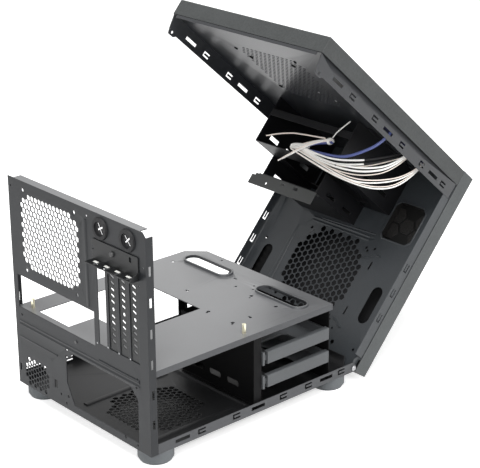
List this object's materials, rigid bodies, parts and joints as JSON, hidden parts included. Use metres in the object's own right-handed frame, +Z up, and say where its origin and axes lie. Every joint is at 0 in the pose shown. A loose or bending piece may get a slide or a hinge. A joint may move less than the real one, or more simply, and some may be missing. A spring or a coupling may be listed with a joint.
{
  "type": "mini itx pc case",
  "caption": "Flip-open cube computer case: a hinged front and top shell lifts off a base with rear panel, board tray, drive trays and vents.",
  "frame": {"origin": "on the desk under the middle of the base", "axes": "+Z up, +Y towards the rear panel, front towards -Y, +X to the right for someone looking along +Y; the shell stands open at rest"},
  "size_m": [0.274, 0.5687, 0.4708],
  "materials": {
    "bay_plate": "satin grey paint",
    "bottom_pan": "satin black powder coat",
    "button_board": "circuit board",
    "cable_tie": "nylon",
    "drive_cage": "satin black powder coat",
    "drive_tray_lower": "fine-grained moulding",
    "drive_tray_upper": "fine-grained moulding",
    "floppy_cage": "satin black powder coat",
    "foot_front_left": "matt",
    "foot_front_right": "matt",
    "foot_rear_left": "matt",
    "foot_rear_right": "matt",
    "front_chassis": "satin black powder coat",
    "front_fascia": "satin moulding",
    "hinge_pin_left": "plated",
    "hinge_pin_right": "plated",
    "honeycomb_insert": "matt black moulding",
    "hose_port_inner": "matt",
    "hose_port_outer": "matt",
    "intake_grille": "matt black moulding",
    "lead_blue": "blue wire sleeve",
    "lead_bundle": "white wire sleeve",
    "lead_knot": "white wire sleeve",
    "lead_loop": "white wire sleeve",
    "lead_lower": "white wire sleeve",
    "lead_lowest": "white wire sleeve",
    "lead_middle": "white wire sleeve",
    "lead_stub": "white wire sleeve",
    "lead_upper": "white wire sleeve",
    "motherboard_tray": "satin grey powder coat",
    "optical_bay_cover": "matt black moulding",
    "optical_cage": "satin black powder coat",
    "port_board": "circuit board",
    "power_button": "matt black moulding",
    "rear_panel": "satin black powder coat",
    "reset_button": "matt black moulding",
    "retainer_screw": "plated",
    "slot_cover_1": "satin grey paint",
    "slot_cover_2": "satin grey paint",
    "slot_cover_3": "satin grey paint",
    "slot_retainer": "satin black powder coat",
    "small_bay_cover": "matt black moulding",
    "standoffs": "machined",
    "tie_tail": "nylon",
    "top_chassis": "satin black powder coat",
    "top_cover": "satin moulding",
    "tray_post": "satin black powder coat"
  },
  "bodies": {
    "base": {"bottom_pan": "bottom_pan", "drive_cage": "drive_cage", "foot_front_left": "foot_front_left", "foot_front_right": "foot_front_right", "foot_rear_left": "foot_rear_left", "foot_rear_right": "foot_rear_right", "hinge_pin_left": "hinge_pin_left", "hinge_pin_right": "hinge_pin_right", "hose_port_inner": "hose_port_inner", "hose_port_outer": "hose_port_outer", "motherboard_tray": "motherboard_tray", "rear_panel": "rear_panel", "retainer_screw": "retainer_screw", "slot_cover_1": "slot_cover_1", "slot_cover_2": "slot_cover_2", "slot_cover_3": "slot_cover_3", "slot_retainer": "slot_retainer", "standoffs": "standoffs", "tray_post": "tray_post"},
    "shell": {"front_chassis": "front_chassis", "top_chassis": "top_chassis", "top_cover": "top_cover", "front_fascia": "front_fascia", "intake_grille": "intake_grille", "honeycomb_insert": "honeycomb_insert", "optical_bay_cover": "optical_bay_cover", "small_bay_cover": "small_bay_cover", "optical_cage": "optical_cage", "floppy_cage": "floppy_cage", "bay_plate": "bay_plate", "button_board": "button_board", "port_board": "port_board", "lead_upper": "lead_upper", "lead_middle": "lead_middle", "lead_lower": "lead_lower", "lead_lowest": "lead_lowest", "lead_blue": "lead_blue", "lead_loop": "lead_loop", "lead_stub": "lead_stub", "lead_bundle": "lead_bundle", "lead_knot": "lead_knot", "cable_tie": "cable_tie", "tie_tail": "tie_tail"},
    "lower_tray": {"drive_tray_lower": "drive_tray_lower"},
    "upper_tray": {"drive_tray_upper": "drive_tray_upper"},
    "power_key": {"power_button": "power_button"},
    "reset_key": {"reset_button": "reset_button"}
  },
  "joints": [
    {"name": "shell_hinge", "type": "hinge", "parent": "base", "child": "shell", "pos_m": [0, -0.1685, 0.0225], "axis": [1, 0, 0], "range_deg": [-41.5, 0]},
    {"name": "lower_tray_slide", "type": "slide", "parent": "base", "child": "lower_tray", "axis": [-1, 0, 0], "range_m": [0, 0.12]},
    {"name": "upper_tray_slide", "type": "slide", "parent": "base", "child": "upper_tray", "axis": [-1, 0, 0], "range_m": [0, 0.12]},
    {"name": "power_button_push", "type": "slide", "parent": "shell", "child": "power_key", "axis": [0, 0.749, 0.6626], "range_m": [0, 0.0015], "stiffness_N_per_m": 200, "springref_m": -0.001},
    {"name": "reset_button_push", "type": "slide", "parent": "shell", "child": "reset_key", "axis": [0, 0.749, 0.6626], "range_m": [0, 0.0015], "stiffness_N_per_m": 200, "springref_m": -0.001}
  ]
}
